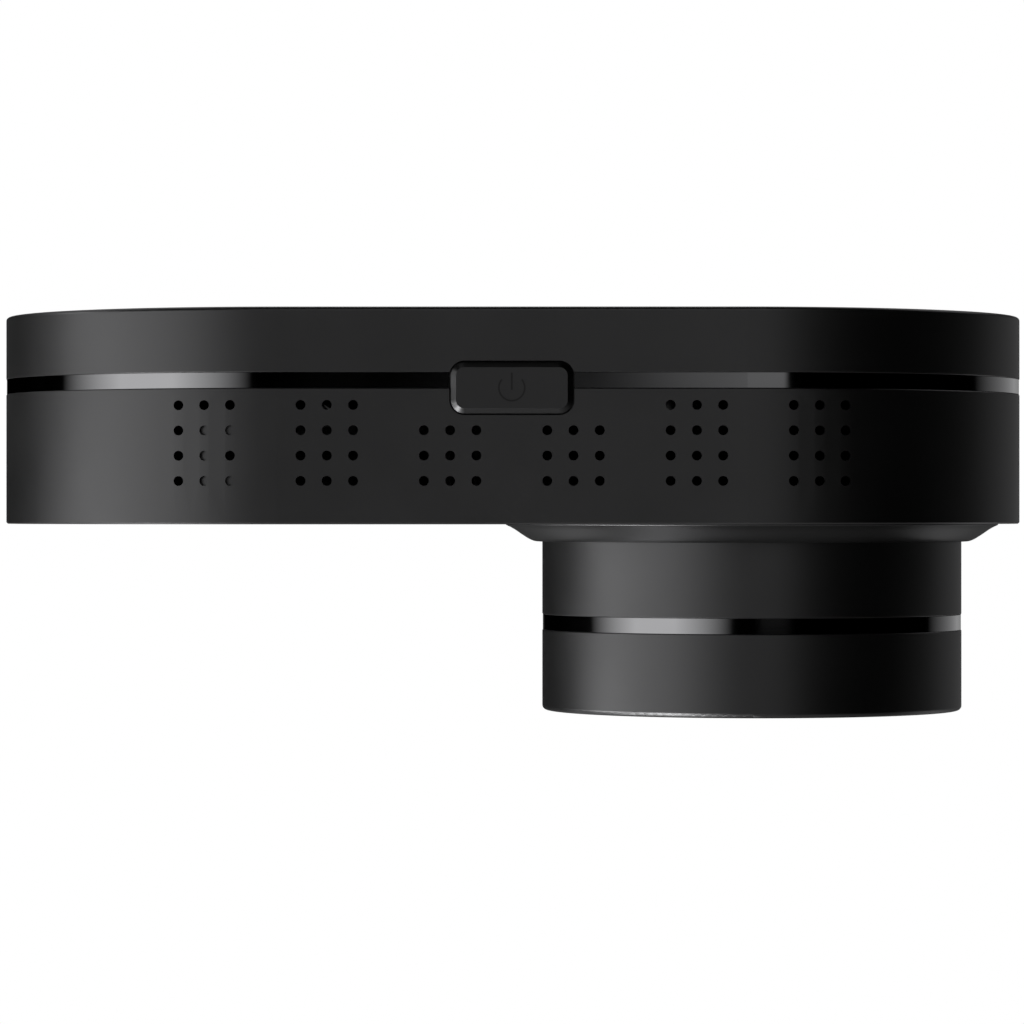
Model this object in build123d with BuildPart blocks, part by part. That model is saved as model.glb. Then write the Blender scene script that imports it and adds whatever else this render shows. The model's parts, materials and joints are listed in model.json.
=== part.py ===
"""Dash camera: pill-shaped housing with a lens barrel in front and a screen behind.

Frame (millimetres): the origin is the centre of the mount seat on the top face.
+Z is up, -Y is the way the lens looks, +Y is the screen side and X runs along the body.
A "depth" is measured back from the front face, and a "reach" forward from it.
"""

import os
from math import asin, copysign, degrees, sqrt

from build123d import *

os.makedirs("parts", exist_ok=True)

# ---------------------------------------------------------------- driving dimensions

# Body: a stadium outline seen from the front, made of two shells and a band
body_width = 100.0
body_height = 56.2
wall = 1.6
front_housing_depth = 12.7
band_width = 1.42
body_depth = 20.25
band_recess = 0.05
seam_chamfer = 0.1
front_edge_chamfer = 0.15
back_edge_radius = 0.35

# The mount seat is centred this far behind the front face
seat_depth = 6.3
front_y = -seat_depth
mid_z = -body_height / 2
bottom_z = -body_height
inner_bottom_z = bottom_z + wall
cover_front_depth = front_housing_depth + band_width

# Tongue of the rear cover that carries the band and enters the front housing
tongue_gap = 0.05
tongue_wall = 0.8
tongue_front_depth = 11.95

# Lens barrel, in reach from the front face
lens_x = -23.62
barrel_radius = 20.7
barrel_wall_radius = 18.0
sleeve_reach = 8.95
accent_ring_width = 1.46
barrel_reach = 18.37
spigot_radius = 19.15
spigot_reach = 14.4
ring_bore_radius = 19.25
front_edge_radius = 0.45
mouth_edge_radius = 0.25
base_ring_radius = 24.3
base_ring_foot = 0.12
base_ring_reach = 1.76
base_ring_bore_radius = 20.75
sleeve_flange_radius = 12.5
sleeve_flange_reach = 3.2
lens_opening_radius = 8.0
barrel_screw_circle = 14.5
screw_head_height = 0.8

# Lens hood funnel
hood_outer_radius = 19.15
hood_face_reach = 17.95
hood_throat_radius = 9.2
hood_throat_reach = 13.3
hood_rim = 0.8
hood_steps = 6

# Lens cell and its glass
cell_bore_radius = 4.1
cell_head_radius = 9.0
cell_thread_radius = 5.95
cell_head_reach = 13.6
cell_head_back = 3.4
cell_back_depth = 3.6

# Lens holder and sensor
holder_size = 22.0
holder_tube_radius = 7.5
holder_reach = 2.0
holder_bore_radius = 6.0
holder_bore_depth = 3.9
aperture_depth = 4.6
filter_size = 9.5
filter_back = 4.9
sensor_x = 12.0
sensor_z = 9.0
sensor_board_size = 25.0
sensor_board_front = 7.7
sensor_board_thickness = 1.0
sensor_screw_offset = 9.2

# Main board and the bosses that carry it
board_front = 11.7
board_thickness = 1.0
board_back = board_front + board_thickness
board_width = 92.0
board_height = 48.2
boss_x = 34.0
boss_z = 17.0
boss_radius = 2.2
screw_hole_radius = 0.75
screw_shank_radius = 0.7
screw_head_radius = 1.5
clearance_hole_radius = 0.9

# Vents in the underside: six groups of small round holes. Five of those at the +X end are blind
# and flat-bottomed, given as (group, column, row), counted from -X and from the front
vent_radius = 0.46
vent_groups = 6
vent_columns = 3
vent_group_pitch = 11.46
vent_column_pitch = 2.44
vent_row_pitch = 2.353
vent_first_row_depth = 4.04
blind_vents = {(5, 0, 0), (5, 0, 2), (5, 1, 0), (5, 1, 1), (5, 1, 2)}
blind_vent_depth = 0.45

# Power button
button_depth = 12.68
button_hole_x = 11.62
button_hole_y = 5.06
button_hole_corner = 1.4
button_gap = 0.13
button_proud = 0.45
button_chamfer = 0.5
button_travel = 0.5
flange_x = 12.9
flange_y = 5.9
flange_thickness = 0.8
press_boss_height = 0.8
icon_radius = 1.28
icon_line = 0.16
icon_sink = 0.06

# Switch under the button, on a small board held by two posts
stem_radius = 0.9
stem_length = 1.3
switch_x = 6.0
switch_y = 3.6
switch_wall = 1.4
switch_lid = 0.2
small_board_x = 22.4
small_board_y = 5.2
small_board_thickness = 0.8
small_board_depth = 12.4
post_x = 9.5
post_depth = 11.1
post_radius = 1.2
post_hole_radius = 0.5

# Ports in the top face
usb_x = 15.5
usb_depth = 10.07
usb_shell_x = 8.94
usb_shell_y = 3.26
card_x = -16.0
card_depth = 10.8
card_width = 11.0
card_length = 15.0
card_thickness = 0.7
card_top_z = -0.6
socket_front = 9.9

# Mount seat
plate_x = 18.0
plate_y = 10.8
plate_thickness = 1.2
plate_gap = 0.1
locator_x = 7.0
locator_radius = 1.0
magnet_x = 14.0
magnet_y = 2.8
magnet_thickness = 2.4
magnet_offset_y = 3.6
seat_block_x = 18.0
seat_block_back = 11.4
seat_block_z = -4.2
insert_x = 8.4
insert_y = 3.0
pad_pitch = 2.0
pad_radius = 0.6
pad_pocket = 1.0

# Screen
glass_x = 97.4
glass_z = 53.6
glass_thickness = 0.8
adhesive_thickness = 0.15
lcd_x = 70.2
lcd_z = 43.3
lcd_thickness = 1.4
tray_x = 71.0
tray_z = 44.1
tray_thickness = 1.6
panel_thickness = 1.2
chassis_x = 90.0
chassis_z = 44.0
chassis_back = 16.2
chassis_thickness = 0.8
chassis_screw_x = 41.0
chassis_screw_z = 9.0

# Where the screen's layers lie
glass_front = body_depth - glass_thickness
lcd_front = glass_front - lcd_thickness
panel_back = glass_front - adhesive_thickness
panel_front = panel_back - panel_thickness
chassis_front = chassis_back - chassis_thickness

# Electronics: places are (x, z) centres on the board, and sizes are (x, z)
processor_place = (10.0, -29.0)
processor_size = (14.0, 14.0)
processor_thickness = 1.2
pad_thickness = 0.8
sink_size = (22.0, 24.0)
sink_base = 1.2
fin_count = 7
fin_thickness = 1.2
fin_height = 5.0
memory_x = 8.0
memory_size = (10.0, 8.0)
memory_row_z = (-23.0, -35.0)
wifi_place = (33.0, -19.5)
wifi_size = (9.0, 9.0)
can_size = (12.0, 12.0)
can_height = 1.8
can_wall = 0.2
antenna_place = (42.0, -28.0)
antenna_size = (2.0, 7.0)
inductor_x = 24.0
inductor_size = (4.4, 4.4)
inductor_row_z = (-14.0, -20.0)
capacitor_radius = 4.0
capacitor_length = 16.0
capacitor_start_x = 24.0
capacitor_depth = 7.6
capacitor_row_z = (-30.5, -38.7)
speaker_place = (20.0, -49.75)
speaker_size = (16.0, 6.5)
speaker_front = 2.4
speaker_back = 8.4
microphone_place = (-15.5, -50.0)
microphone_size = (3.0, 2.0)

# Ribbon cables and their sockets
flex_thickness = 0.15
socket_height = 1.0
sensor_flex_bottom_z = -32.5
sensor_flex_width = 9.0
display_flex_x = -20.0
display_flex_width = 12.0


# ---------------------------------------------------------------- planes and helpers

def depth_plane(depth, x=0.0, z=mid_z):
    """Plane at a depth behind the front face, whose normal looks forward (-Y)."""
    return Plane(origin=(x, front_y + depth, z), x_dir=(1, 0, 0), z_dir=(0, -1, 0))


def lens_plane(depth):
    """Depth plane centred on the lens axis."""
    return depth_plane(depth, lens_x, mid_z)


# Half-section plane through the lens axis: local x is the radius, local y the reach
lens_section = Plane(origin=(lens_x, front_y, mid_z), x_dir=(1, 0, 0), z_dir=(0, 0, -1))
lens_axis = Axis((lens_x, front_y, mid_z), (0, -1, 0))


def box_between(low, high, mode=Mode.ADD):
    """Box between two opposite corners given as (x, depth, z)."""
    size = [b - a for a, b in zip(low, high)]
    middle = [(a + b) / 2 for a, b in zip(low, high)]
    with Locations((middle[0], front_y + middle[1], middle[2])):
        Box(size[0], size[1], size[2], mode=mode)


def block(place, size, front, back, mode=Mode.ADD):
    """Box given by its (x, z) centre and size, between two depths."""
    half_x, half_z = size[0] / 2, size[1] / 2
    low = (place[0] - half_x, front, place[1] - half_z)
    high = (place[0] + half_x, back, place[1] + half_z)
    box_between(low, high, mode)


def stadium(inset, mode=Mode.ADD):
    """Body outline, drawn in by an inset."""
    SlotOverall(body_width - 2 * inset, body_height - 2 * inset, mode=mode)


def button_outline(growth):
    """Rounded outline of the button's hole, grown or shrunk all round."""
    RectangleRounded(
        button_hole_x + 2 * growth,
        button_hole_y + 2 * growth,
        button_hole_corner + growth,
    )


button_centre = (0, front_y + button_depth)
post_places = [(-post_x, front_y + post_depth), (post_x, front_y + post_depth)]

# Levels of the button, switch and small board, from below
cap_bottom_z = bottom_z - button_proud
flange_bottom_z = inner_bottom_z + 0.1
stem_bottom_z = flange_bottom_z + flange_thickness + press_boss_height
switch_bottom_z = stem_bottom_z + button_travel + 0.1
small_board_z = switch_bottom_z + switch_wall + switch_lid
small_board_top_z = small_board_z + small_board_thickness

# The button's hole, cut through the bottom wall of both shells and the band
with BuildSketch(Plane.XY.offset(bottom_z - 2)) as button_hole:
    with Locations(button_centre):
        button_outline(0)


def underside_plane(x, y):
    """A plane on the outer surface at a place on the underside, facing out."""
    end_radius = body_height / 2
    flat_half = body_width / 2 - end_radius
    lean = (x - max(-flat_half, min(x, flat_half))) / end_radius
    out = Vector(lean, 0, -sqrt(1 - lean**2))
    return Plane(origin=(x, y, mid_z + end_radius * out.Z), x_dir=(0, 1, 0), z_dir=out)


def vent_places(blind):
    """(x, y) of the vent holes; the middle groups lack the row that the button takes."""
    places = []
    for group in range(vent_groups):
        group_x = (group - (vent_groups - 1) / 2) * vent_group_pitch
        rows = 3 if abs(group_x) < vent_group_pitch else 4
        for column in range(vent_columns):
            column_x = group_x + (column - 1) * vent_column_pitch
            for row in range(rows):
                row_y = front_y + vent_first_row_depth + row * vent_row_pitch
                if ((group, column, row) in blind_vents) == blind:
                    places.append((column_x, row_y))
    return places


# ---------------------------------------------------------------- body shells

with BuildPart() as front_housing:
    with BuildSketch(depth_plane(front_housing_depth)):
        stadium(0)
    extrude(amount=front_housing_depth)
    chamfer(front_housing.faces().sort_by(Axis.Y)[0].edges(), front_edge_chamfer)
    chamfer(front_housing.faces().sort_by(Axis.Y)[-1].edges(), seam_chamfer)

    # Hollow inside, open at the back
    with BuildSketch(depth_plane(front_housing_depth)):
        stadium(wall)
    extrude(amount=front_housing_depth - wall, mode=Mode.SUBTRACT)

    # Bosses for the main board
    with BuildSketch(depth_plane(board_front)):
        with GridLocations(2 * boss_x, 2 * boss_z, 2, 2):
            Circle(boss_radius)
    extrude(amount=board_front - wall)
    with BuildSketch(depth_plane(board_front)):
        with GridLocations(2 * boss_x, 2 * boss_z, 2, 2):
            Circle(screw_hole_radius)
    extrude(amount=6.2, mode=Mode.SUBTRACT)

    # Posts for the button's board, standing on the bottom wall
    with BuildSketch(Plane.XY.offset(inner_bottom_z - 0.4)):
        with Locations(*post_places):
            Circle(post_radius)
    extrude(amount=small_board_z - inner_bottom_z + 0.4)
    with BuildSketch(Plane.XY.offset(small_board_z)):
        with Locations(*post_places):
            Circle(post_hole_radius)
    extrude(amount=-2.4, mode=Mode.SUBTRACT)

    # Thick block under the mount seat, with pockets for plate, magnets and contacts
    box_between(
        (-seat_block_x / 2, wall - 0.2, seat_block_z),
        (seat_block_x / 2, seat_block_back, -wall + 0.2),
    )
    with BuildSketch(Plane.XY):
        RectangleRounded(plate_x + 2 * plate_gap, plate_y + 2 * plate_gap, 2.1)
    extrude(amount=-plate_thickness, mode=Mode.SUBTRACT)
    with BuildSketch(Plane.XY.offset(-plate_thickness)):
        with GridLocations(0, 2 * magnet_offset_y, 1, 2):
            Rectangle(magnet_x + 0.2, magnet_y + 0.2)
        Rectangle(insert_x + 0.2, insert_y + 0.2)
    extrude(amount=-magnet_thickness - 0.1, mode=Mode.SUBTRACT)

    # Opening behind the barrel, and holes for the barrel's screws
    with BuildSketch(lens_plane(wall)):
        Circle(lens_opening_radius)
        with PolarLocations(barrel_screw_circle, 4):
            Circle(clearance_hole_radius)
    extrude(amount=wall, mode=Mode.SUBTRACT)

    # Port openings in the top wall
    with BuildSketch(Plane.XY):
        with Locations((usb_x, front_y + usb_depth)):
            SlotOverall(usb_shell_x + 0.36, usb_shell_y + 0.34)
        with Locations((card_x, front_y + card_depth)):
            RectangleRounded(card_width + 1.0, 1.7, 0.4)
    extrude(amount=-wall, mode=Mode.SUBTRACT)

    # Vent holes, and the blind ones among them
    with BuildSketch(Plane.XY.offset(bottom_z)):
        with Locations(*vent_places(blind=False)):
            Circle(vent_radius)
    extrude(amount=4, mode=Mode.SUBTRACT)
    with Locations(*[underside_plane(x, y) for x, y in vent_places(blind=True)]):
        Cylinder(vent_radius, 2 * blind_vent_depth, mode=Mode.SUBTRACT)

    extrude(button_hole.sketch, amount=wall + 2.2, mode=Mode.SUBTRACT)

with BuildPart() as body_accent_band:
    with BuildSketch(depth_plane(cover_front_depth)):
        stadium(band_recess)
        stadium(wall, Mode.SUBTRACT)
    extrude(amount=band_width)
    extrude(button_hole.sketch, amount=wall + 2.2, mode=Mode.SUBTRACT)

with BuildPart() as rear_cover:
    with BuildSketch(depth_plane(body_depth)):
        stadium(0)
    extrude(amount=body_depth - cover_front_depth)
    fillet(rear_cover.faces().sort_by(Axis.Y)[-1].edges(), back_edge_radius)
    chamfer(rear_cover.faces().sort_by(Axis.Y)[0].edges(), seam_chamfer)

    # Hollow in front of the panel that carries the screen
    with BuildSketch(depth_plane(panel_front)):
        stadium(wall)
    extrude(amount=panel_front - cover_front_depth, mode=Mode.SUBTRACT)

    # Recess for the glass, and the window for the screen with a notch for its cable
    with BuildSketch(depth_plane(body_depth)):
        SlotOverall(glass_x + 0.2, glass_z + 0.2)
    extrude(amount=body_depth - panel_back, mode=Mode.SUBTRACT)
    block((0, mid_z), (tray_x + 0.6, tray_z + 0.6), panel_front, panel_back, Mode.SUBTRACT)
    block((display_flex_x, -50.85), (display_flex_width + 2, 1.7), panel_front, panel_back, Mode.SUBTRACT)

    # Bosses for the chassis plate
    with BuildSketch(depth_plane(panel_front)):
        with GridLocations(2 * chassis_screw_x, 2 * chassis_screw_z, 2, 2):
            Circle(2.0)
            Circle(screw_hole_radius, mode=Mode.SUBTRACT)
    extrude(amount=panel_front - chassis_back)

    # Tongue inside the band, entering the front housing, with a gap at the button
    with BuildSketch(depth_plane(cover_front_depth)):
        stadium(wall + tongue_gap)
        stadium(wall + tongue_gap + tongue_wall, Mode.SUBTRACT)
    extrude(amount=cover_front_depth - tongue_front_depth)
    with BuildSketch(depth_plane(cover_front_depth + 0.8)):
        stadium(wall - 0.2)
        stadium(wall + tongue_gap + tongue_wall, Mode.SUBTRACT)
    extrude(amount=0.8)
    box_between((-11.2, tongue_front_depth, inner_bottom_z), (11.2, chassis_back, -53), Mode.SUBTRACT)
    extrude(button_hole.sketch, amount=wall + 2.2, mode=Mode.SUBTRACT)


# ---------------------------------------------------------------- lens barrel

with BuildPart() as lens_base_ring:
    with BuildSketch(lens_section):
        with BuildLine():
            Polyline(
                (base_ring_bore_radius, base_ring_reach),
                (base_ring_bore_radius, 0),
                (base_ring_radius, 0),
                (base_ring_radius, base_ring_foot),
            )
            Spline(
                (base_ring_radius, base_ring_foot),
                (23.5, 0.52),
                (22.5, 1.2),
                (21.65, 1.66),
                (base_ring_bore_radius, base_ring_reach),
                tangents=[(-0.9, 0.35), (-1, 0)],
            )
        make_face()
    revolve(axis=lens_axis)
    foot_edges = lens_base_ring.edges().filter_by(GeomType.CIRCLE).group_by(SortBy.RADIUS)[-1]
    fillet(foot_edges.sort_by(Axis.Y)[0], 0.06)

with BuildPart() as barrel_sleeve:
    with BuildSketch(lens_section):
        with BuildLine():
            Polyline(
                (sleeve_flange_radius, 0),
                (barrel_radius, 0),
                (barrel_radius, sleeve_reach - seam_chamfer),
                (barrel_radius - seam_chamfer, sleeve_reach),
                (spigot_radius, sleeve_reach),
                (spigot_radius, spigot_reach),
                (barrel_wall_radius, spigot_reach),
                (barrel_wall_radius, sleeve_flange_reach),
                (sleeve_flange_radius, sleeve_flange_reach),
                close=True,
            )
        make_face()
    revolve(axis=lens_axis)
    with BuildSketch(lens_plane(0)):
        with PolarLocations(barrel_screw_circle, 4):
            Circle(screw_hole_radius)
    extrude(amount=2.6, mode=Mode.SUBTRACT)

ring_front_reach = sleeve_reach + accent_ring_width

with BuildPart() as barrel_accent_ring:
    with BuildSketch(lens_plane(-sleeve_reach)):
        Circle(barrel_radius - band_recess)
        Circle(ring_bore_radius, mode=Mode.SUBTRACT)
    extrude(amount=accent_ring_width)

with BuildPart() as barrel_front_ring:
    with BuildSketch(lens_section):
        with BuildLine():
            Polyline(
                (ring_bore_radius, ring_front_reach),
                (barrel_radius - seam_chamfer, ring_front_reach),
                (barrel_radius, ring_front_reach + seam_chamfer),
                (barrel_radius, barrel_reach),
                (ring_bore_radius, barrel_reach),
                close=True,
            )
        make_face()
    revolve(axis=lens_axis)
    for edge_choice, edge_radius in ((-1, front_edge_radius), (0, mouth_edge_radius)):
        front_edges = barrel_front_ring.edges().filter_by(GeomType.CIRCLE).group_by(Axis.Y)[0]
        fillet(front_edges.sort_by(SortBy.RADIUS)[edge_choice], edge_radius)

with BuildPart() as lens_hood:
    with BuildSketch(lens_section):
        step_run = (hood_outer_radius - hood_rim - hood_throat_radius) / hood_steps
        step_drop = (hood_face_reach - hood_throat_reach) / hood_steps
        stairs = []
        for step in range(hood_steps):
            edge_radius = hood_outer_radius - hood_rim - step * step_run
            edge_reach = hood_face_reach - step * step_drop
            stairs.append((edge_radius, edge_reach))
            stairs.append((edge_radius, edge_reach - step_drop))
        with BuildLine():
            Polyline(
                (hood_outer_radius, spigot_reach + 0.05),
                (hood_outer_radius, hood_face_reach),
                *stairs,
                (hood_throat_radius, hood_throat_reach),
                (hood_throat_radius, hood_throat_reach - 1),
                (hood_throat_radius + 1, hood_throat_reach - 1),
                (17.6, spigot_reach + 0.05),
                close=True,
            )
        make_face()
    revolve(axis=lens_axis)

with BuildPart() as lens_cell:
    with BuildSketch(lens_section):
        with BuildLine():
            Polyline(
                (cell_bore_radius, -cell_back_depth),
                (cell_thread_radius, -cell_back_depth),
                (cell_thread_radius, cell_head_back),
                (cell_head_radius, cell_head_back),
                (cell_head_radius, cell_head_reach - 0.3),
                (cell_head_radius - 0.3, cell_head_reach),
                (8.1, cell_head_reach),
                (8.1, 10.9),
                (6.6, 10.9),
                (6.6, 8.2),
                (5.1, 8.2),
                (5.1, 1.0),
                (cell_bore_radius, 1.0),
                close=True,
            )
        make_face()
    revolve(axis=lens_axis)


def dome(apex_reach, rim_radius, rim_reach):
    """Arc from the lens axis out to a rim, with its centre on the axis."""
    rise = apex_reach - rim_reach
    sphere_radius = (rim_radius**2 + rise**2) / (2 * abs(rise))
    turn = degrees(asin(rim_radius / sphere_radius))
    JernArc((0, apex_reach), (1, 0), sphere_radius, -copysign(turn, rise))


with BuildPart() as lens_front_element:
    with BuildSketch(lens_section):
        with BuildLine():
            dome(13.45, 8.05, 11.9)
            Polyline((8.05, 11.9), (8.05, 10.9), (6.4, 10.9))
            dome(11.6, 6.4, 10.9)
            Line((0, 11.6), (0, 13.45))
        make_face()
    revolve(axis=lens_axis)

with BuildPart() as lens_middle_element:
    with BuildSketch(lens_section):
        with BuildLine():
            dome(7.9, 5.05, 6.9)
            Line((5.05, 6.9), (5.05, 5.9))
            dome(5.4, 5.05, 5.9)
            Line((0, 5.4), (0, 7.9))
        make_face()
    revolve(axis=lens_axis)

with BuildPart() as lens_rear_element:
    with BuildSketch(lens_section):
        with BuildLine():
            dome(0.6, 4.05, -0.1)
            Line((4.05, -0.1), (4.05, -0.9))
            dome(-1.6, 4.05, -0.9)
            Line((0, -1.6), (0, 0.6))
        make_face()
    revolve(axis=lens_axis)

with BuildPart() as lens_lock_ring:
    with BuildSketch(lens_plane(-holder_reach - 0.1)):
        Circle(8.2)
        Circle(cell_thread_radius + 0.05, mode=Mode.SUBTRACT)
        with PolarLocations(8.2, 6):
            Circle(0.6, mode=Mode.SUBTRACT)
    extrude(amount=1.2)

# Two screws at opposite corners, seen along the lens axis
sensor_screw_places = [
    (-sensor_screw_offset, sensor_screw_offset),
    (sensor_screw_offset, -sensor_screw_offset),
]

with BuildPart() as lens_holder:
    with BuildSketch(lens_plane(sensor_board_front)):
        RectangleRounded(holder_size, holder_size, 1.5)
    extrude(amount=sensor_board_front - wall)
    with BuildSketch(lens_plane(wall)):
        Circle(holder_tube_radius)
    extrude(amount=wall + holder_reach)
    # Threaded bore from the front, aperture, and the chamber round the sensor
    with BuildSketch(lens_plane(holder_bore_depth)):
        Circle(holder_bore_radius)
    extrude(amount=holder_bore_depth + holder_reach, mode=Mode.SUBTRACT)
    with BuildSketch(lens_plane(aperture_depth)):
        Circle(4.0)
    extrude(amount=aperture_depth - holder_bore_depth, mode=Mode.SUBTRACT)
    with BuildSketch(lens_plane(sensor_board_front)):
        Rectangle(14, 12)
    extrude(amount=sensor_board_front - aperture_depth, mode=Mode.SUBTRACT)
    with BuildSketch(lens_plane(sensor_board_front)):
        with Locations(*sensor_screw_places):
            Circle(0.65)
    extrude(amount=3.4, mode=Mode.SUBTRACT)

with BuildPart() as ir_filter:
    with BuildSketch(lens_plane(filter_back)):
        Rectangle(filter_size, filter_size)
    extrude(amount=filter_back - aperture_depth)

with BuildPart() as image_sensor:
    with BuildSketch(lens_plane(sensor_board_front)):
        Rectangle(sensor_x, sensor_z)
    extrude(amount=1.2)

with BuildPart() as sensor_board:
    with BuildSketch(lens_plane(sensor_board_front + sensor_board_thickness)):
        RectangleRounded(sensor_board_size, sensor_board_size, 1.0)
        with Locations(*sensor_screw_places):
            Circle(0.8, mode=Mode.SUBTRACT)
    extrude(amount=sensor_board_thickness)

with BuildPart() as sensor_screws:
    screw_back = sensor_board_front + sensor_board_thickness
    with BuildSketch(lens_plane(screw_back + 0.7)):
        with Locations(*sensor_screw_places):
            Circle(1.2)
    extrude(amount=0.7)
    with BuildSketch(lens_plane(screw_back)):
        with Locations(*sensor_screw_places):
            Circle(0.6)
    extrude(amount=4.2)

with BuildPart() as barrel_screws:
    with BuildSketch(lens_plane(wall + screw_head_height)):
        with PolarLocations(barrel_screw_circle, 4):
            Circle(screw_head_radius)
    extrude(amount=screw_head_height)
    with BuildSketch(lens_plane(wall)):
        with PolarLocations(barrel_screw_circle, 4):
            Circle(screw_shank_radius)
    extrude(amount=wall + 2.4)


# ---------------------------------------------------------------- screen

with BuildPart() as touch_glass:
    with BuildSketch(depth_plane(body_depth)):
        SlotOverall(glass_x, glass_z)
    extrude(amount=glass_thickness)
    chamfer(touch_glass.faces().sort_by(Axis.Y)[-1].edges(), 0.12)

with BuildPart() as glass_adhesive:
    with BuildSketch(depth_plane(glass_front)):
        SlotOverall(glass_x - 0.4, glass_z - 0.4)
        Rectangle(tray_x + 0.8, tray_z + 0.6, mode=Mode.SUBTRACT)
    extrude(amount=adhesive_thickness)

with BuildPart() as lcd_panel:
    with BuildSketch(depth_plane(glass_front)):
        Rectangle(lcd_x, lcd_z)
    extrude(amount=lcd_thickness)

with BuildPart() as backlight_tray:
    with BuildSketch(depth_plane(lcd_front)):
        Rectangle(tray_x, tray_z)
    extrude(amount=tray_thickness)
    with BuildSketch(depth_plane(lcd_front)):
        Rectangle(tray_x - 0.8, tray_z - 0.8)
    extrude(amount=tray_thickness - 0.5, mode=Mode.SUBTRACT)

with BuildPart() as backlight_guide:
    with BuildSketch(depth_plane(lcd_front - 0.05)):
        Rectangle(tray_x - 1.2, tray_z - 1.2)
    extrude(amount=1.0)

with BuildPart() as chassis_plate:
    with BuildSketch(depth_plane(chassis_back)):
        SlotOverall(chassis_x, chassis_z)
        with GridLocations(2 * chassis_screw_x, 2 * chassis_screw_z, 2, 2):
            Circle(clearance_hole_radius, mode=Mode.SUBTRACT)
    extrude(amount=chassis_thickness)
    # Pressed stiffening ribs behind the board
    with BuildSketch(depth_plane(chassis_front)):
        with GridLocations(0, 14, 1, 3):
            SlotOverall(56, 2.4)
    extrude(amount=0.5)

with BuildPart() as chassis_screws:
    with BuildSketch(depth_plane(chassis_front)):
        with GridLocations(2 * chassis_screw_x, 2 * chassis_screw_z, 2, 2):
            Circle(screw_head_radius)
    extrude(amount=screw_head_height)
    with BuildSketch(depth_plane(panel_front)):
        with GridLocations(2 * chassis_screw_x, 2 * chassis_screw_z, 2, 2):
            Circle(screw_shank_radius)
    extrude(amount=panel_front - chassis_front)


# ---------------------------------------------------------------- electronics

with BuildPart() as main_board:
    with BuildSketch(depth_plane(board_back)):
        SlotOverall(board_width, board_height)
        with GridLocations(2 * boss_x, 2 * boss_z, 2, 2):
            Circle(clearance_hole_radius, mode=Mode.SUBTRACT)
        # Notch over the button's board
        with Locations((0, -body_height / 2 + 5.5)):
            Rectangle(24, 3, mode=Mode.SUBTRACT)
    extrude(amount=board_thickness)

with BuildPart() as board_screws:
    with BuildSketch(depth_plane(board_back + screw_head_height)):
        with GridLocations(2 * boss_x, 2 * boss_z, 2, 2):
            Circle(screw_head_radius)
    extrude(amount=screw_head_height)
    with BuildSketch(depth_plane(board_back)):
        with GridLocations(2 * boss_x, 2 * boss_z, 2, 2):
            Circle(screw_shank_radius)
    extrude(amount=6.5)

processor_front = board_front - processor_thickness
sink_back = processor_front - pad_thickness
sink_front = sink_back - sink_base

with BuildPart() as processor:
    block(processor_place, processor_size, processor_front, board_front)
    chamfer(processor.edges().filter_by(Axis.Y), 0.4)

with BuildPart() as thermal_pad:
    block(processor_place, processor_size, sink_back, processor_front)

with BuildPart() as heat_sink:
    block(processor_place, sink_size, sink_front, sink_back)
    fin_pitch = (sink_size[0] - fin_thickness) / (fin_count - 1)
    for fin in range(fin_count):
        fin_x = processor_place[0] + (fin - (fin_count - 1) / 2) * fin_pitch
        fin_size = (fin_thickness, sink_size[1])
        block((fin_x, processor_place[1]), fin_size, sink_front - fin_height, sink_front)

with BuildPart() as memory_chips:
    for memory_z in memory_row_z:
        block((memory_x, memory_z), memory_size, board_back, board_back + 1)

with BuildPart() as wifi_module:
    block(wifi_place, wifi_size, board_front - 1, board_front)

with BuildPart() as wifi_shield_can:
    block(wifi_place, can_size, board_front - can_height, board_front)
    can_inside = (can_size[0] - 2 * can_wall, can_size[1] - 2 * can_wall)
    block(wifi_place, can_inside, board_front - can_height + can_wall, board_front, Mode.SUBTRACT)

with BuildPart() as wifi_antenna:
    block(antenna_place, antenna_size, board_front - 1.2, board_front)

with BuildPart() as power_inductors:
    for inductor_z in inductor_row_z:
        block((inductor_x, inductor_z), inductor_size, board_front - 2.2, board_front)
    fillet(power_inductors.edges().filter_by(Axis.Y), 0.8)

with BuildPart() as supercapacitors:
    for capacitor_z in capacitor_row_z:
        with BuildSketch(Plane.YZ.offset(capacitor_start_x)):
            with Locations((front_y + capacitor_depth, capacitor_z)):
                Circle(capacitor_radius)
        extrude(amount=capacitor_length)
    fillet(supercapacitors.edges().filter_by(GeomType.CIRCLE), 0.5)

with BuildPart() as speaker:
    block(speaker_place, speaker_size, speaker_front, speaker_back)
    fillet(speaker.edges().filter_by(Axis.Y), 1.0)
    # Sound opening towards the vents
    with BuildSketch(Plane.XY.offset(speaker_place[1] - speaker_size[1] / 2)):
        with Locations((speaker_place[0], front_y + (speaker_front + speaker_back) / 2)):
            SlotOverall(10, 3)
    extrude(amount=0.8, mode=Mode.SUBTRACT)

with BuildPart() as microphone:
    block(microphone_place, microphone_size, board_front - 1, board_front)
    with BuildSketch(depth_plane(board_front - 1, *microphone_place)):
        Circle(0.3)
    extrude(amount=-0.4, mode=Mode.SUBTRACT)

with BuildPart() as usb_c_shell:
    shell_bottom_z = -8.2
    shell_length = 7.3
    with BuildSketch(Plane.XY.offset(shell_bottom_z)):
        with Locations((usb_x, front_y + usb_depth)):
            SlotOverall(usb_shell_x, usb_shell_y)
    extrude(amount=shell_length)
    with BuildSketch(Plane.XY.offset(shell_bottom_z + 0.4)):
        with Locations((usb_x, front_y + usb_depth)):
            SlotOverall(8.34, 2.56)
    extrude(amount=shell_length, mode=Mode.SUBTRACT)

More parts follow.
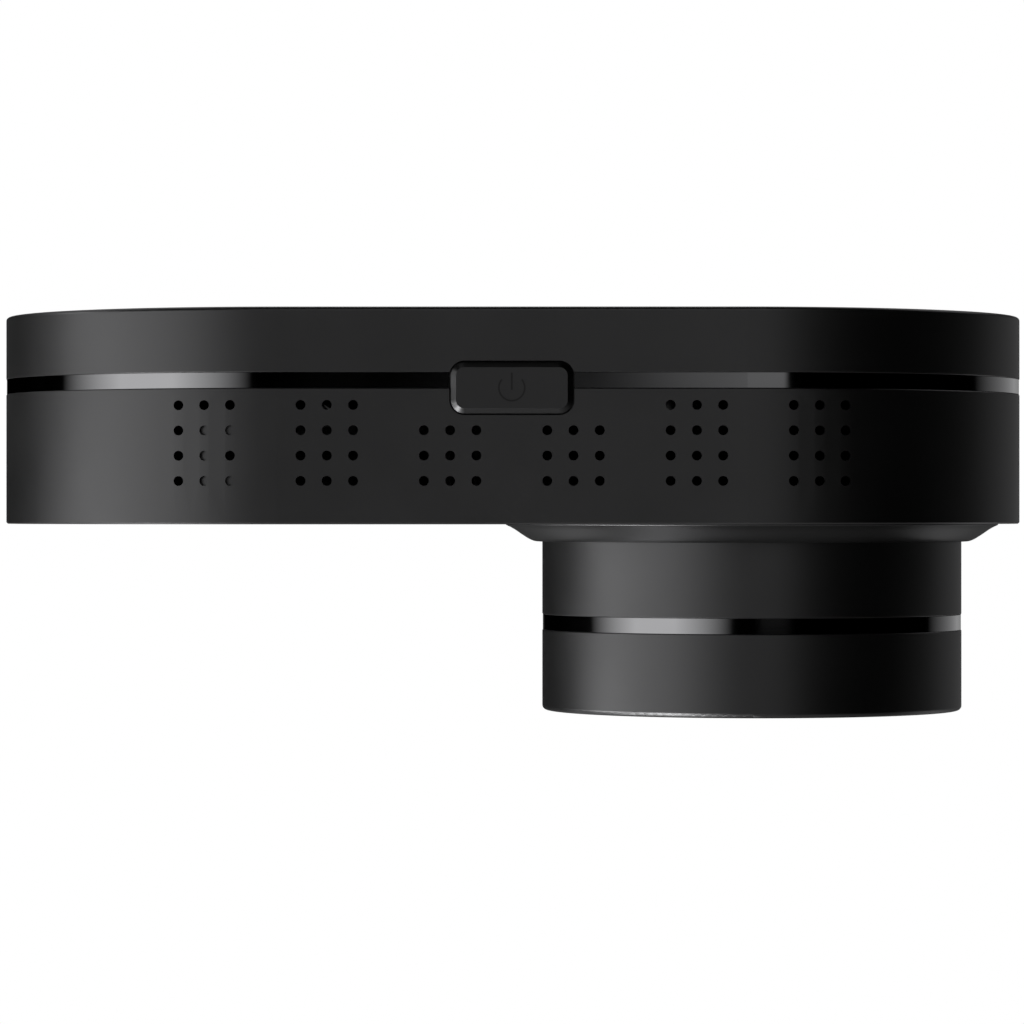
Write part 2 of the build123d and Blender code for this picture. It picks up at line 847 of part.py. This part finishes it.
with BuildPart() as usb_c_tongue:
    box_between(
        (usb_x - 3.6, usb_depth - 0.95, shell_bottom_z + 0.4),
        (usb_x + 3.6, usb_depth + 0.95, shell_bottom_z + 1.6),
    )
    box_between(
        (usb_x - 3.35, usb_depth - 0.35, shell_bottom_z + 1.6),
        (usb_x + 3.35, usb_depth + 0.35, shell_bottom_z + 6.4),
    )
    chamfer(usb_c_tongue.faces().sort_by(Axis.Z)[-1].edges().filter_by(Axis.X), 0.15)

with BuildPart() as microsd_socket:
    box_between((card_x - 6.3, socket_front, -17.2), (card_x + 6.3, board_front, -1.9))
    # Open at the top for the card, which stops 0.8 mm before the end wall
    box_between(
        (card_x - 5.65, socket_front + 0.3, -16.4),
        (card_x + 5.65, board_front - 0.3, -1.9),
        Mode.SUBTRACT,
    )

with BuildPart() as microsd_card:
    card_bottom_z = card_top_z - card_length
    with BuildSketch(depth_plane(card_depth + card_thickness / 2, card_x, card_bottom_z)):
        with BuildLine():
            Polyline(
                (-5.5, 0.4),
                (-5.1, 0),
                (3.6, 0),
                (4.2, 0.6),
                (4.2, 5.4),
                (4.9, 6.2),
                (4.9, 7.9),
                (5.5, 8.6),
                (5.5, card_length),
                (-5.5, card_length),
                close=True,
            )
        make_face()
    extrude(amount=card_thickness)
    # Finger ridge along the outer end
    box_between(
        (card_x - 5.2, card_depth - 0.5, card_top_z - 1.2),
        (card_x + 5.2, card_depth - card_thickness / 2, card_top_z),
    )

with BuildPart() as board_connectors:
    # Sensor board, main board towards the sensor, main board towards the screen
    flex_mid_z = sensor_flex_bottom_z + sensor_flex_width / 2
    sensor_socket_size = (3.0, sensor_flex_width + 1)
    sensor_board_back = sensor_board_front + sensor_board_thickness
    sensor_socket = (-16.5, flex_mid_z)
    main_socket = (-3.5, flex_mid_z)
    block(sensor_socket, sensor_socket_size, sensor_board_back, sensor_board_back + socket_height)
    block(main_socket, sensor_socket_size, board_front - socket_height, board_front)
    display_socket_size = (display_flex_width + 2, 3.0)
    block((display_flex_x, -47.0), display_socket_size, board_back, board_back + 1.2)


def ribbon(points, bend_radius):
    """Flat cable seen edge-on, along a bent line in the active sketch."""
    with BuildLine() as route:
        FilletPolyline(*points, radius=bend_radius)
    trace(route.line, line_width=flex_thickness)


with BuildPart() as sensor_flex:
    # Bends once between the two boards
    with BuildSketch(Plane.XY.offset(sensor_flex_bottom_z)):
        ribbon(
            [
                (-15, front_y + 9.2),
                (-9, front_y + 9.2),
                (-9, front_y + 11.2),
                (-5, front_y + 11.2),
            ],
            0.8,
        )
    extrude(amount=sensor_flex_width)

with BuildPart() as display_flex:
    # From the screen's lower edge, forward under the chassis, up to the main board
    lcd_middle_y = front_y + glass_front - lcd_thickness / 2
    lcd_bottom_z = mid_z - lcd_z / 2
    with BuildSketch(Plane.YZ.offset(display_flex_x - display_flex_width / 2)):
        ribbon(
            [
                (lcd_middle_y, lcd_bottom_z),
                (lcd_middle_y, -51.2),
                (front_y + 13.3, -51.2),
                (front_y + 13.3, -48.5),
            ],
            0.6,
        )
    extrude(amount=display_flex_width)


# ---------------------------------------------------------------- power button

with BuildPart() as power_button:
    with BuildSketch(Plane.XY.offset(cap_bottom_z)):
        with Locations(button_centre):
            button_outline(-button_gap)
    extrude(amount=flange_bottom_z - cap_bottom_z)
    chamfer(power_button.faces().sort_by(Axis.Z)[0].edges(), button_chamfer)

    # Flange that stops it falling out, and the boss that presses the switch
    with BuildSketch(Plane.XY.offset(flange_bottom_z)):
        with Locations(button_centre):
            Rectangle(flange_x, flange_y)
    extrude(amount=flange_thickness)
    with BuildSketch(Plane.XY.offset(flange_bottom_z + flange_thickness)):
        with Locations(button_centre):
            Rectangle(3.0, 2.4)
    extrude(amount=press_boss_height)

    # Standby symbol sunk into the face: an open ring and a bar
    with BuildSketch(Plane.XY.offset(cap_bottom_z)):
        with Locations(button_centre):
            Circle(icon_radius)
            Circle(icon_radius - icon_line, mode=Mode.SUBTRACT)
        with Locations((0, button_centre[1] + 1.1)):
            Rectangle(1.9, 0.7, mode=Mode.SUBTRACT)
        with Locations((0, button_centre[1] + 0.6)):
            Rectangle(icon_line, 1.6)
    extrude(amount=icon_sink, mode=Mode.SUBTRACT)

with BuildPart() as tact_switch_stem:
    with BuildSketch(Plane.XY.offset(stem_bottom_z)):
        with Locations(button_centre):
            Circle(stem_radius)
    extrude(amount=stem_length)

with BuildPart() as tact_switch_body:
    with BuildSketch(Plane.XY.offset(switch_bottom_z)):
        with Locations(button_centre):
            RectangleRounded(switch_x, switch_y, 0.3)
            Circle(stem_radius + 0.08, mode=Mode.SUBTRACT)
    extrude(amount=switch_wall)
    with BuildSketch(Plane.XY.offset(switch_bottom_z + switch_wall)):
        with Locations(button_centre):
            RectangleRounded(switch_x, switch_y, 0.3)
    extrude(amount=switch_lid)

with BuildPart() as button_board:
    with BuildSketch(Plane.XY.offset(small_board_z)):
        with Locations((0, front_y + small_board_depth)):
            RectangleRounded(small_board_x, small_board_y, 0.8)
        with Locations(*post_places):
            Circle(0.65, mode=Mode.SUBTRACT)
    extrude(amount=small_board_thickness)

with BuildPart() as button_board_screws:
    with BuildSketch(Plane.XY.offset(small_board_top_z)):
        with Locations(*post_places):
            Circle(1.0)
    extrude(amount=0.5)
    with BuildSketch(Plane.XY.offset(small_board_top_z)):
        with Locations(*post_places):
            Circle(0.45)
    extrude(amount=-2.8)

with BuildPart() as button_flex:
    box_between((4, board_front - flex_thickness, small_board_top_z), (7, board_front, -46))


# ---------------------------------------------------------------- mount seat

with BuildPart() as mount_plate:
    with BuildSketch(Plane.XY):
        RectangleRounded(plate_x, plate_y, 2.0)
        Rectangle(insert_x + 0.2, insert_y + 0.2, mode=Mode.SUBTRACT)
        with GridLocations(2 * locator_x, 0, 2, 1):
            Circle(locator_radius, mode=Mode.SUBTRACT)
    extrude(amount=-plate_thickness)

with BuildPart() as mount_magnets:
    with BuildSketch(Plane.XY.offset(-plate_thickness)):
        with GridLocations(0, 2 * magnet_offset_y, 1, 2):
            Rectangle(magnet_x, magnet_y)
    extrude(amount=-magnet_thickness)

with BuildPart() as contact_insert:
    with BuildSketch(Plane.XY):
        Rectangle(insert_x, insert_y)
    extrude(amount=-2.4)
    with BuildSketch(Plane.XY):
        with GridLocations(pad_pitch, 0, 4, 1):
            Circle(pad_radius)
    extrude(amount=-pad_pocket, mode=Mode.SUBTRACT)

with BuildPart() as contact_pads:
    with BuildSketch(Plane.XY.offset(-pad_pocket)):
        with GridLocations(pad_pitch, 0, 4, 1):
            Circle(pad_radius)
    extrude(amount=pad_pocket - 0.05)


# ---------------------------------------------------------------- labels and files

pieces = {
    "front_housing": front_housing,
    "body_accent_band": body_accent_band,
    "rear_cover": rear_cover,
    "lens_base_ring": lens_base_ring,
    "barrel_sleeve": barrel_sleeve,
    "barrel_accent_ring": barrel_accent_ring,
    "barrel_front_ring": barrel_front_ring,
    "lens_hood": lens_hood,
    "lens_cell": lens_cell,
    "lens_front_element": lens_front_element,
    "lens_middle_element": lens_middle_element,
    "lens_rear_element": lens_rear_element,
    "lens_lock_ring": lens_lock_ring,
    "lens_holder": lens_holder,
    "ir_filter": ir_filter,
    "image_sensor": image_sensor,
    "sensor_board": sensor_board,
    "sensor_screws": sensor_screws,
    "barrel_screws": barrel_screws,
    "touch_glass": touch_glass,
    "glass_adhesive": glass_adhesive,
    "lcd_panel": lcd_panel,
    "backlight_tray": backlight_tray,
    "backlight_guide": backlight_guide,
    "chassis_plate": chassis_plate,
    "chassis_screws": chassis_screws,
    "main_board": main_board,
    "board_screws": board_screws,
    "processor": processor,
    "thermal_pad": thermal_pad,
    "heat_sink": heat_sink,
    "memory_chips": memory_chips,
    "wifi_module": wifi_module,
    "wifi_shield_can": wifi_shield_can,
    "wifi_antenna": wifi_antenna,
    "power_inductors": power_inductors,
    "supercapacitors": supercapacitors,
    "speaker": speaker,
    "microphone": microphone,
    "usb_c_shell": usb_c_shell,
    "usb_c_tongue": usb_c_tongue,
    "microsd_socket": microsd_socket,
    "microsd_card": microsd_card,
    "board_connectors": board_connectors,
    "sensor_flex": sensor_flex,
    "display_flex": display_flex,
    "power_button": power_button,
    "tact_switch_stem": tact_switch_stem,
    "tact_switch_body": tact_switch_body,
    "button_board": button_board,
    "button_board_screws": button_board_screws,
    "button_flex": button_flex,
    "mount_plate": mount_plate,
    "mount_magnets": mount_magnets,
    "contact_insert": contact_insert,
    "contact_pads": contact_pads,
}

for name, piece in pieces.items():
    piece.part.label = name
    export_step(piece.part, f"parts/{name}.step")
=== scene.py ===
"""Looks of the dash camera: procedural materials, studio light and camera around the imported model.

Everything is in metres in the shared frame: +Z up out of the mount seat, -Y the way the lens looks,
+Y the screen side. The view is straight up at the underside.
"""

import json
import math

import bpy
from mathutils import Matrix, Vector


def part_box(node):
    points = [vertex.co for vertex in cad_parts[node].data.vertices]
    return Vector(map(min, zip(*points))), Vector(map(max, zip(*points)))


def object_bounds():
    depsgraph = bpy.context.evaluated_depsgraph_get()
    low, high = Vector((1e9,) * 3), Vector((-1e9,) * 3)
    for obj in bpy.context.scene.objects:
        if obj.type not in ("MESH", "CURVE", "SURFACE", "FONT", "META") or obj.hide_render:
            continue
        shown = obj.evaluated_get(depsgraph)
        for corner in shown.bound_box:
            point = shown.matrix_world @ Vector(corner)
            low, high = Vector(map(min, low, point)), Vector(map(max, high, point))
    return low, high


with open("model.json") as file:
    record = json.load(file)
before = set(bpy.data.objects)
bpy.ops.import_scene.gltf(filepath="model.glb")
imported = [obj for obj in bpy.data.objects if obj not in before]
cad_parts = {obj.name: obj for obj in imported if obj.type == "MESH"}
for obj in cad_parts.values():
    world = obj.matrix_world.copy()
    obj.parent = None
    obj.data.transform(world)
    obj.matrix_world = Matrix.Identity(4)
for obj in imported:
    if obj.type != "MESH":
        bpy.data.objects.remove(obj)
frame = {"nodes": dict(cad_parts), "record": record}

cad_low, cad_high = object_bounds()
nodes = frame["nodes"]
scene = bpy.context.scene

MM = 0.001


# ---------------------------------------------------------------- node helpers

class Nodes:
    """A short way to add and link shader nodes in one tree."""

    def __init__(self, tree):
        self.tree = tree
        self.tree.nodes.clear()

    def add(self, kind, settings=None, **inputs):
        """Add a node; settings are its properties, inputs are values or sockets by name."""
        node = self.tree.nodes.new(kind)
        for key, value in (settings or {}).items():
            setattr(node, key, value)
        for key, value in inputs.items():
            self.put(node.inputs[key.replace("_", " ")], value)
        return node

    def put(self, socket, value):
        if isinstance(value, bpy.types.NodeSocket):
            self.tree.links.new(value, socket)
        else:
            socket.default_value = value

    def math(self, operation, a, b=None, c=None):
        node = self.add("ShaderNodeMath", {"operation": operation})
        for index, value in enumerate((a, b, c)):
            if value is not None:
                self.put(node.inputs[index], value)
        return node.outputs[0]

    def place(self):
        """The object's own coordinates."""
        return self.add("ShaderNodeTexCoord").outputs["Object"]

    def split(self, vector):
        """The x, y and z of a vector."""
        return self.add("ShaderNodeSeparateXYZ", Vector=vector).outputs

    def noise(self, scale, detail=3.0, roughness=0.5, stretch=None):
        """Noise over the object's own coordinates; stretch scales each axis first."""
        vector = self.place()
        if stretch:
            mapping = self.add("ShaderNodeMapping", Vector=vector)
            mapping.inputs["Scale"].default_value = stretch
            vector = mapping.outputs[0]
        node = self.add("ShaderNodeTexNoise", Vector=vector, Scale=scale, Detail=detail)
        node.inputs["Roughness"].default_value = roughness
        return node.outputs["Fac"]

    def spread(self, value, low, high, from_low=0.3, from_high=0.7):
        """Map a noise value to a range."""
        node = self.add("ShaderNodeMapRange")
        for index, number in enumerate((value, from_low, from_high, low, high)):
            self.put(node.inputs[index], number)
        return node.outputs[0]

    def tint(self, factor, first, second):
        """Mix two colours."""
        node = self.add("ShaderNodeMix", {"data_type": "RGBA"})
        self.put(node.inputs[0], factor)
        self.put(node.inputs[6], (*first, 1))
        self.put(node.inputs[7], (*second, 1))
        return node.outputs[2]

    def bump(self, height, distance, strength=1.0):
        node = self.add("ShaderNodeBump", Height=height, Distance=distance, Strength=strength)
        return node.outputs[0]

    def finish(self, **inputs):
        shader = self.add("ShaderNodeBsdfPrincipled")
        for key, value in inputs.items():
            self.put(shader.inputs[key.replace("_", " ")], value)
        self.add("ShaderNodeOutputMaterial", Surface=shader.outputs[0])
        return shader


def new_material(name):
    material = bpy.data.materials.new(name)
    material.use_nodes = True
    return material, Nodes(material.node_tree)


def mixed(color, factor):
    """A colour made lighter or darker by a factor."""
    return tuple(channel * factor for channel in color)


# ---------------------------------------------------------------- materials

SATIN = (0.20, 0.20, 0.203)
SATIN_ROUGHNESS = 0.38


def satin_coat(n, color, cloud):
    """Finish a tree as the satin black metallic coat: very fine grain, slow gloss variation."""
    n.finish(
        Base_Color=color,
        Metallic=1.0,
        Specular_Tint=(0.45, 0.45, 0.45, 1),
        Roughness=n.spread(cloud, SATIN_ROUGHNESS - 0.02, SATIN_ROUGHNESS + 0.02),
        Normal=n.bump(n.noise(5200, 2, 0.6), 0.004 * MM, 0.35),
    )


def satin_shell():
    material, n = new_material("satin_shell")
    cloud = n.noise(60, 3, 0.55)
    satin_coat(n, n.tint(n.spread(cloud, 0, 1), mixed(SATIN, 0.95), mixed(SATIN, 1.05)), cloud)
    return material


# The standby symbol: the reach round the key's centre, and the least depth that counts as sunken
SYMBOL_REACH = 1.7 * MM
SYMBOL_DEPTH = 0.03 * MM


def power_key():
    """The satin coat, with the sunken standby symbol a little darker than the face round it."""
    material, n = new_material("button_black")
    cloud = n.noise(60, 3, 0.55)
    low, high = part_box("power_button")
    x, y, z = n.split(n.place())
    x_off = n.math("SUBTRACT", x, (low.x + high.x) / 2)
    y_off = n.math("SUBTRACT", y, (low.y + high.y) / 2)
    off_squared = n.math("ADD", n.math("POWER", x_off, 2.0), n.math("POWER", y_off, 2.0))
    inside = n.math("LESS_THAN", off_squared, SYMBOL_REACH ** 2)
    sunken = n.math("GREATER_THAN", z, low.z + SYMBOL_DEPTH)
    symbol = n.math("MULTIPLY", inside, sunken)
    satin_coat(n, n.tint(symbol, mixed(SATIN, 0.95), mixed(SATIN, 0.62)), cloud)
    return material


def polished_trim():
    """Polished dark chrome with faint turning lines."""
    material, n = new_material("polished_trim")
    wipe = n.noise(900, 2, 0.5, stretch=(0.05, 1.0, 0.05))
    cloud = n.noise(120, 2)
    n.finish(
        Base_Color=n.tint(n.spread(cloud, 0, 1), (0.44, 0.44, 0.45), (0.48, 0.48, 0.49)),
        Metallic=1.0,
        Roughness=n.spread(cloud, 0.06, 0.10),
        Normal=n.bump(wipe, 0.002 * MM, 0.2),
    )
    return material


def matte_plastic(name, color, roughness=0.6, grain_scale=3000, ior=1.45):
    """Plain moulded plastic with a fine texture."""
    material, n = new_material(name)
    grain = n.noise(grain_scale, 3, 0.6)
    cloud = n.noise(150, 3)
    n.finish(
        Base_Color=n.tint(n.spread(cloud, 0, 1), mixed(color, 0.88), mixed(color, 1.12)),
        Roughness=n.spread(cloud, roughness - 0.05, roughness + 0.05),
        Normal=n.bump(grain, 0.01 * MM, 0.5),
        IOR=ior,
    )
    return material


def gloss_plastic(name, color, roughness=0.18):
    material, n = new_material(name)
    cloud = n.noise(90, 3)
    ripple = n.noise(500, 2)
    n.finish(
        Base_Color=n.tint(n.spread(cloud, 0, 1), mixed(color, 0.92), mixed(color, 1.08)),
        Roughness=n.spread(cloud, roughness * 0.85, roughness * 1.15),
        Normal=n.bump(ripple, 0.002 * MM, 0.3),
    )
    return material


def metal(name, color, roughness=0.28, stretch=(1.0, 0.04, 1.0), scale=2500, depth=0.004):
    """Bare metal with a directional brushed or rolled finish."""
    material, n = new_material(name)
    brush = n.noise(scale, 4, 0.6, stretch=stretch)
    cloud = n.noise(140, 3)
    n.finish(
        Base_Color=n.tint(n.spread(cloud, 0, 1), mixed(color, 0.90), mixed(color, 1.08)),
        Metallic=1.0,
        Roughness=n.spread(brush, roughness - 0.07, roughness + 0.07),
        Normal=n.bump(brush, depth * MM, 0.6),
    )
    return material


def anodised_black():
    """Black anodised aluminium with fine turning grooves round the lens axis."""
    material, n = new_material("lens_barrel_black")
    grain = n.noise(2600, 3, 0.6, stretch=(0.1, 3.0, 0.1))
    cloud = n.noise(200, 3)
    n.finish(
        Base_Color=n.tint(n.spread(cloud, 0, 1), (0.018, 0.018, 0.020), (0.026, 0.026, 0.028)),
        Metallic=0.6,
        Roughness=n.spread(cloud, 0.34, 0.42),
        Normal=n.bump(grain, 0.006 * MM, 0.6),
    )
    return material


def lens_glass(name, coating, ior=1.6):
    """Coated optical glass: clear face-on, with the coating's colour painted into the glass colour
    towards a glancing view as a painted reflection of the coat.
    """
    material, n = new_material(name)
    cloud = n.noise(70, 2)
    # Painted reflection: the glass colour turns from clear to the coating colour as the view grows
    # glancing
    painted_coat_reflection = n.add("ShaderNodeLayerWeight", Blend=0.35).outputs["Facing"]
    n.finish(
        Base_Color=n.tint(painted_coat_reflection, (0.96, 0.97, 0.98), coating),
        Roughness=n.spread(cloud, 0.008, 0.016),
        Transmission_Weight=1.0,
        IOR=ior,
        Specular_Tint=(*coating, 1),
    )
    return material


# The lit part of the screen, and the soft edge between it and the printed border
SCREEN_HALF_WIDTH = 33.2 * MM
SCREEN_HALF_HEIGHT = 18.7 * MM
SCREEN_EDGE = 0.4 * MM


def cover_glass():
    """Black-backed touch glass: printed border, and a faintly lighter screen area behind it."""
    material, n = new_material("cover_glass")
    x, y, z = n.split(n.place())
    low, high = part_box("lcd_panel")
    z_off = n.math("SUBTRACT", z, (low.z + high.z) / 2)
    inside_x = n.math("SUBTRACT", SCREEN_HALF_WIDTH, n.math("ABSOLUTE", x))
    inside_z = n.math("SUBTRACT", SCREEN_HALF_HEIGHT, n.math("ABSOLUTE", z_off))
    window = n.spread(n.math("MINIMUM", inside_x, inside_z), 0, 1, 0, SCREEN_EDGE)
    cloud = n.noise(45, 3)
    smudge = n.spread(cloud, 0.03, 0.06)
    n.finish(
        Base_Color=n.tint(window, (0.004, 0.004, 0.005), (0.045, 0.047, 0.055)),
        Roughness=smudge,
        IOR=1.52,
        Coat_Weight=0.5,
        Coat_Roughness=0.02,
    )
    return material


def circuit_board():
    """Dark green solder mask over faint copper tracks."""
    material, n = new_material("circuit_board")
    tracks = n.add(
        "ShaderNodeTexVoronoi", {"feature": "DISTANCE_TO_EDGE"}, Vector=n.place(), Scale=420.0
    ).outputs["Distance"]
    lines = n.spread(tracks, 1, 0, 0.04, 0.09)
    n.finish(
        Base_Color=n.tint(lines, (0.008, 0.050, 0.028), (0.020, 0.100, 0.052)),
        Roughness=n.spread(n.noise(200, 2), 0.28, 0.36),
        Normal=n.bump(lines, 0.02 * MM, 0.4),
        Coat_Weight=0.3,
    )
    return material


# The memory card's contacts: their pitch, how many, each one's half width as a share of the
# pitch, the row's middle above the inner end and its half length, and how thick the gilt face is
CONTACT_PITCH = 1.1 * MM
CONTACT_COUNT = 8
CONTACT_HALF_WIDTH = 0.36
CONTACT_MIDDLE = 2.1 * MM
CONTACT_HALF_LENGTH = 1.4 * MM
CONTACT_FACE = 0.02 * MM


def memory_card():
    """Black moulded card with a row of eight gold contacts on its screen side, at the inner end."""
    material, n = new_material("card_black")
    low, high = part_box("microsd_card")
    x, y, z = n.split(n.place())
    half_count = CONTACT_COUNT / 2
    row_start = (low.x + high.x) / 2 - half_count * CONTACT_PITCH
    step = n.math("DIVIDE", n.math("SUBTRACT", x, row_start), CONTACT_PITCH)
    from_middle = n.math("ABSOLUTE", n.math("SUBTRACT", n.math("FRACT", step), 0.5))
    masks = (
        n.math("LESS_THAN", from_middle, CONTACT_HALF_WIDTH),
        n.math("COMPARE", step, half_count, half_count),
        n.math("COMPARE", z, low.z + CONTACT_MIDDLE, CONTACT_HALF_LENGTH),
        n.math("GREATER_THAN", y, high.y - CONTACT_FACE),
    )
    contact = masks[0]
    for mask in masks[1:]:
        contact = n.math("MULTIPLY", contact, mask)
    cloud = n.noise(90, 3)
    n.finish(
        Base_Color=n.tint(contact, (0.020, 0.020, 0.022), (0.86, 0.60, 0.22)),
        Metallic=contact,
        Roughness=n.spread(cloud, 0.30, 0.40),
        Normal=n.bump(n.noise(2600, 2), 0.006 * MM, 0.4),
    )
    return material


def pale_floor():
    """Seamless paper, lit evenly by its own glow so that it stays pale from every side."""
    material, n = new_material("pale_floor")
    shade = n.tint(n.spread(n.noise(3, 2), 0, 1), (0.84, 0.84, 0.84), (0.88, 0.88, 0.88))
    n.finish(Base_Color=shade, Roughness=0.9, Emission_Color=shade, Emission_Strength=0.75)
    return material


MATERIALS = {
    "satin_shell": satin_shell(),
    "polished_trim": polished_trim(),
    "hood_black": matte_plastic("hood_black", (0.012, 0.012, 0.013), 0.62, 2600),
    "lens_barrel_black": anodised_black(),
    "lens_glass": lens_glass("lens_glass", (0.45, 0.50, 0.95)),
    "filter_glass": lens_glass("filter_glass", (0.95, 0.45, 0.40), 1.5),
    "sensor_glass": gloss_plastic("sensor_glass", (0.05, 0.07, 0.06), 0.08),
    "cover_glass": cover_glass(),
    "lcd_black": gloss_plastic("lcd_black", (0.012, 0.012, 0.016), 0.12),
    "light_guide": gloss_plastic("light_guide", (0.80, 0.82, 0.84), 0.22),
    "adhesive": matte_plastic("adhesive", (0.03, 0.03, 0.03), 0.8),
    "steel": metal("steel", (0.60, 0.60, 0.62)),
    "chassis_metal": metal("chassis_metal", (0.50, 0.51, 0.53), 0.42, (1, 1, 1), 1800, 0.02),
    "circuit_board": circuit_board(),
    "chip_black": matte_plastic("chip_black", (0.028, 0.028, 0.030), 0.5),
    "thermal_rubber": matte_plastic("thermal_rubber", (0.30, 0.38, 0.50), 0.85, 1500),
    "sink_aluminium": metal("sink_aluminium", (0.52, 0.53, 0.55), 0.36, (1, 1, 0.05)),
    "antenna_ceramic": matte_plastic("antenna_ceramic", (0.74, 0.73, 0.69), 0.4),
    "capacitor_sleeve": gloss_plastic("capacitor_sleeve", (0.030, 0.045, 0.130), 0.25),
    "inner_plastic": matte_plastic("inner_plastic", (0.022, 0.022, 0.024), 0.5),
    "card_black": memory_card(),
    "connector_ivory": matte_plastic("connector_ivory", (0.66, 0.62, 0.52), 0.5),
    "flex_amber": gloss_plastic("flex_amber", (0.48, 0.22, 0.04), 0.3),
    "button_black": power_key(),
    "seat_steel": metal("seat_steel", (0.40, 0.40, 0.41), 0.34, (0.04, 1.0, 1.0)),
    "magnet_nickel": metal("magnet_nickel", (0.58, 0.57, 0.54), 0.18, (1, 1, 1), 900),
    "gold": metal("gold", (0.86, 0.60, 0.22), 0.20, (1, 1, 1), 1500),
}

for entry in frame["record"]["subparts"]:
    mesh = nodes[entry["node"]].data
    mesh.materials.clear()
    mesh.materials.append(MATERIALS[entry["material_slot"]])


# ---------------------------------------------------------------- floor

FLOOR_Z = -0.9
FLOOR_REACH = 3.0
floor_mesh = bpy.data.meshes.new("studio_floor")
corners = [
    (-FLOOR_REACH, -FLOOR_REACH),
    (FLOOR_REACH, -FLOOR_REACH),
    (FLOOR_REACH, FLOOR_REACH),
    (-FLOOR_REACH, FLOOR_REACH),
]
floor_mesh.from_pydata([(x, y, FLOOR_Z) for x, y in corners], [], [(0, 1, 2, 3)])
floor = bpy.data.objects.new("studio_floor", floor_mesh)
scene.collection.objects.link(floor)
floor_mesh.materials.append(pale_floor())
floor.visible_glossy = False
floor.visible_diffuse = False


# ---------------------------------------------------------------- light

# Long softboxes: angle round the lens axis from straight down towards +X, half width and
# feather in degrees, then middle, half length and feather along Y (-1 to 1), then brightness
LONG_BOXES = {
    "key": (57, 28, 16, 0.0, 0.13, 0.05, 0.85),
    "key_wing": (95, 9, 12, -0.34, 0.13, 0.08, 8.4),
    "key_wing_back": (95, 9, 12, 0.34, 0.13, 0.08, 2.4),
    "rim": (-152, 16, 26, 0.0, 0.22, 0.10, 0.48),
    "rim_wing": (-120, 20, 14, -0.34, 0.13, 0.08, 0.50),
    "lower_strip": (-10, 8.2, 1.0, 0.3, 0.29, 0.02, 0.22),
    "belly": (7, 22, 12, 0.34, 0.12, 0.06, 0.28),
    "belly_front": (7, 22, 12, -0.34, 0.12, 0.06, 0.28),
    "foot": (152, 15, 14, -0.60, 0.14, 0.08, 0.76),
    "foot_far": (-147, 18, 14, -0.52, 0.14, 0.08, 0.75),
}
# Round softboxes: direction, radius and feather in degrees, brightness
ROUND_BOXES = {
    "lens_side_key": ((0.62, -0.76, -0.15), 12, 5, 8.0),
    "lens_side_fill": ((0.50, -0.86, 0.05), 20, 12, 0.35),
    "front_fill": ((-0.25, -0.90, -0.35), 30, 24, 0.16),
    "screen_side_fill": ((0.30, 0.93, 0.22), 15, 10, 0.40),
}
# Soft light from above and behind, for the top: brightness, then where it starts and is full,
# along Y and along Z (-1 to 1)
SKY = 0.60
SKY_BEHIND = (0.35, 0.60)
SKY_ABOVE = (0.10, 0.45)


def studio_world():
    """Surroundings that only light and reflect; the camera itself sees plain white."""
    world = bpy.data.worlds.new("studio")
    world.use_nodes = True
    n = Nodes(world.node_tree)
    direction = n.add("ShaderNodeTexCoord").outputs["Generated"]
    x, y, z = n.split(direction)
    angle = n.math("ARCTAN2", x, n.math("MULTIPLY", z, -1.0))
    total = None
    for middle, half, feather, y_middle, y_half, y_feather, brightness in LONG_BOXES.values():
        off = n.math("WRAP", n.math("SUBTRACT", angle, math.radians(middle)), math.pi, -math.pi)
        near, far = math.radians(half - feather), math.radians(half + feather)
        across = n.spread(n.math("ABSOLUTE", off), brightness, 0, near, far)
        y_off = n.math("ABSOLUTE", n.math("SUBTRACT", y, y_middle))
        along = n.spread(y_off, 1, 0, y_half - y_feather, y_half + y_feather)
        light = n.math("MULTIPLY", across, along)
        total = light if total is None else n.math("ADD", total, light)
    for aim, radius, feather, brightness in ROUND_BOXES.values():
        dot = n.add("ShaderNodeVectorMath", {"operation": "DOT_PRODUCT"})
        n.put(dot.inputs[0], direction)
        n.put(dot.inputs[1], Vector(aim).normalized())
        off = n.math("ARCCOSINE", dot.outputs["Value"])
        near, far = math.radians(radius - feather), math.radians(radius + feather)
        total = n.math("ADD", total, n.spread(off, brightness, 0, near, far))
    above = n.spread(z, 0, 1, *SKY_ABOVE)
    sky = n.math("MULTIPLY", n.spread(y, 0, SKY, *SKY_BEHIND), above)
    total = n.math("ADD", total, sky)
    lights = n.add("ShaderNodeBackground", Strength=total)
    paper = n.add("ShaderNodeBackground", Strength=1.0)
    for background in (lights, paper):
        background.inputs["Color"].default_value = (1, 1, 1, 1)
    camera_ray = n.add("ShaderNodeLightPath").outputs["Is Camera Ray"]
    choice = n.add("ShaderNodeMixShader")
    n.put(choice.inputs[0], camera_ray)
    n.put(choice.inputs[1], lights.outputs[0])
    n.put(choice.inputs[2], paper.outputs[0])
    n.add("ShaderNodeOutputWorld", Surface=choice.outputs[0])
    return world


scene.world = studio_world()
scene.view_settings.view_transform = "Standard"
scene.view_settings.look = "None"


# ---------------------------------------------------------------- camera

# A long lens below the part, a little off its middle, aimed at the middle of the body's height
SENSOR_WIDTH = 36.0
FOCAL_LENGTH = 160.43
CAMERA_PLACE = (-0.00149, -0.00515, -0.480)
AIM_X = 0.00008
camera_data = bpy.data.cameras.new("camera")
camera_data.sensor_width = SENSOR_WIDTH
camera_data.lens = FOCAL_LENGTH
camera = bpy.data.objects.new("camera", camera_data)
scene.collection.objects.link(camera)
camera.location = CAMERA_PLACE
yaw = math.atan2(AIM_X - camera.location.x, cad_low.z / 2 - camera.location.z)
camera.rotation_euler = (0, math.pi + yaw, 0)
scene.camera = camera
